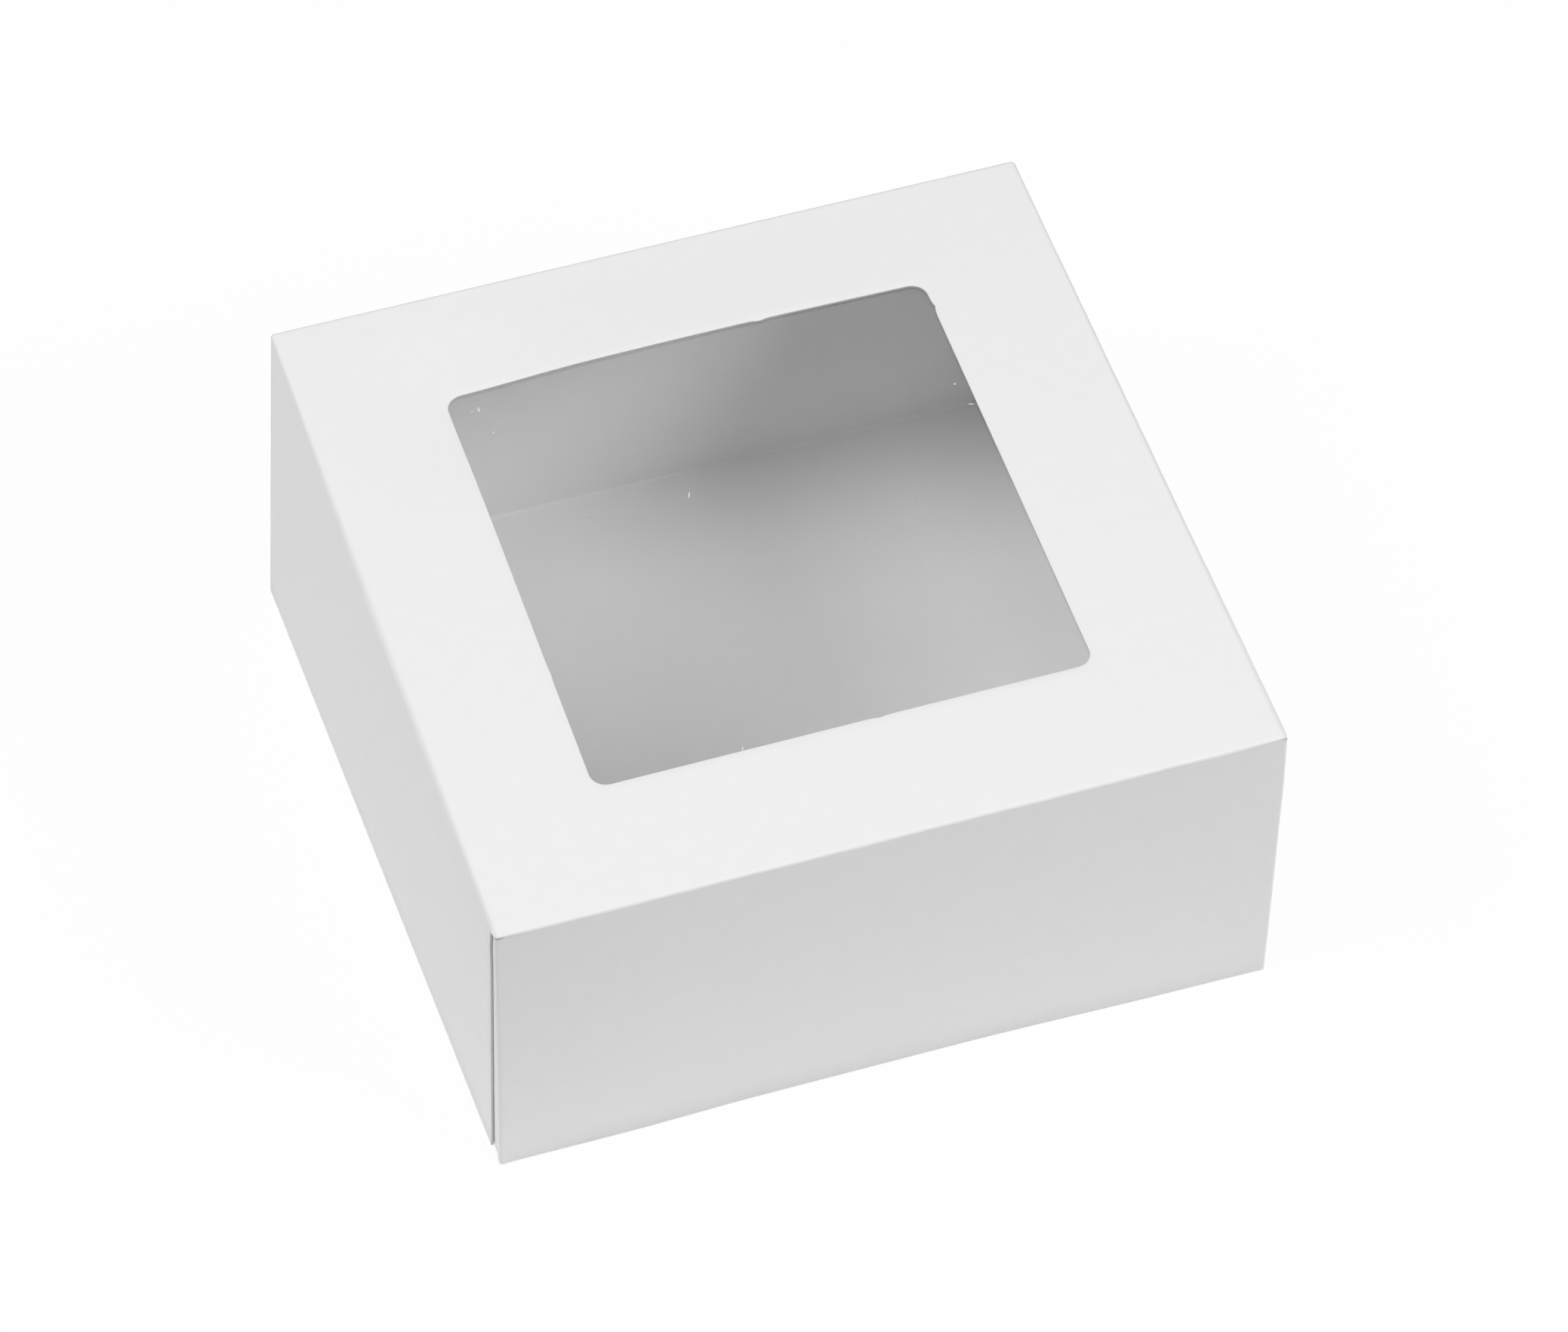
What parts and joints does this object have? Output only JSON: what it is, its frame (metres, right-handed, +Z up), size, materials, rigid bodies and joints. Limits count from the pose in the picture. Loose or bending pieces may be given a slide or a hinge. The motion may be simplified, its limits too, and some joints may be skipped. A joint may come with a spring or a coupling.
{
  "type": "cake box",
  "caption": "Folded white paperboard cake box: a glued tray under a hinged, full-depth lid with a clear film window, side flaps, and a front flap whose ears tuck in.",
  "frame": {"origin": "under the middle of the closed box, on the table", "axes": "+Z up, -Y towards the front flap, +X to the right as seen from the front; the lid hinges along X at the rear top edge"},
  "size_m": [0.16, 0.1594, 0.075],
  "materials": {
    "white_board": "smooth coated white board, satin",
    "clear_film": "clear, thin, glossy film",
    "glue": "dried, slightly translucent"
  },
  "bodies": {
    "tray": {"floor_panel": "white_board", "front_wall": "white_board", "rear_wall": "white_board", "left_wall": "white_board", "right_wall": "white_board", "front_left_tab": "white_board", "front_right_tab": "white_board", "rear_left_tab": "white_board", "rear_right_tab": "white_board", "corner_glue": "glue"},
    "lid": {"lid_panel": "white_board", "film_glue": "glue", "window_film": "clear_film"},
    "front_flap": {"front_flap": "white_board"},
    "left_flap": {"left_flap": "white_board"},
    "right_flap": {"right_flap": "white_board"},
    "left_ear": {"left_ear": "white_board"},
    "right_ear": {"right_ear": "white_board"}
  },
  "joints": [
    {"name": "lid_hinge", "type": "hinge", "parent": "tray", "child": "lid", "pos_m": [0, 0.07945, 0.07475], "axis": [-1, 0, 0], "range_deg": [0, 195]},
    {"name": "front_flap_fold", "type": "hinge", "parent": "lid", "child": "front_flap", "pos_m": [0, -0.07945, 0.07475], "axis": [-1, 0, 0], "range_deg": [0, 90]},
    {"name": "left_flap_fold", "type": "hinge", "parent": "lid", "child": "left_flap", "pos_m": [-0.07975, 0, 0.07475], "axis": [0, 1, 0], "range_deg": [0, 90]},
    {"name": "right_flap_fold", "type": "hinge", "parent": "lid", "child": "right_flap", "pos_m": [0.07975, 0, 0.07475], "axis": [0, -1, 0], "range_deg": [0, 90]},
    {"name": "left_ear_fold", "type": "hinge", "parent": "front_flap", "child": "left_ear", "pos_m": [-0.07895, -0.07945, 0.0375], "axis": [0, 0, 1], "range_deg": [0, 90]},
    {"name": "right_ear_fold", "type": "hinge", "parent": "front_flap", "child": "right_ear", "pos_m": [0.07895, -0.07945, 0.0375], "axis": [0, 0, -1], "range_deg": [0, 90]}
  ],
  "couplings": [
    {"joint": "left_ear_fold", "follows": "left_flap_fold", "ratio": 1},
    {"joint": "right_ear_fold", "follows": "right_flap_fold", "ratio": 1}
  ]
}
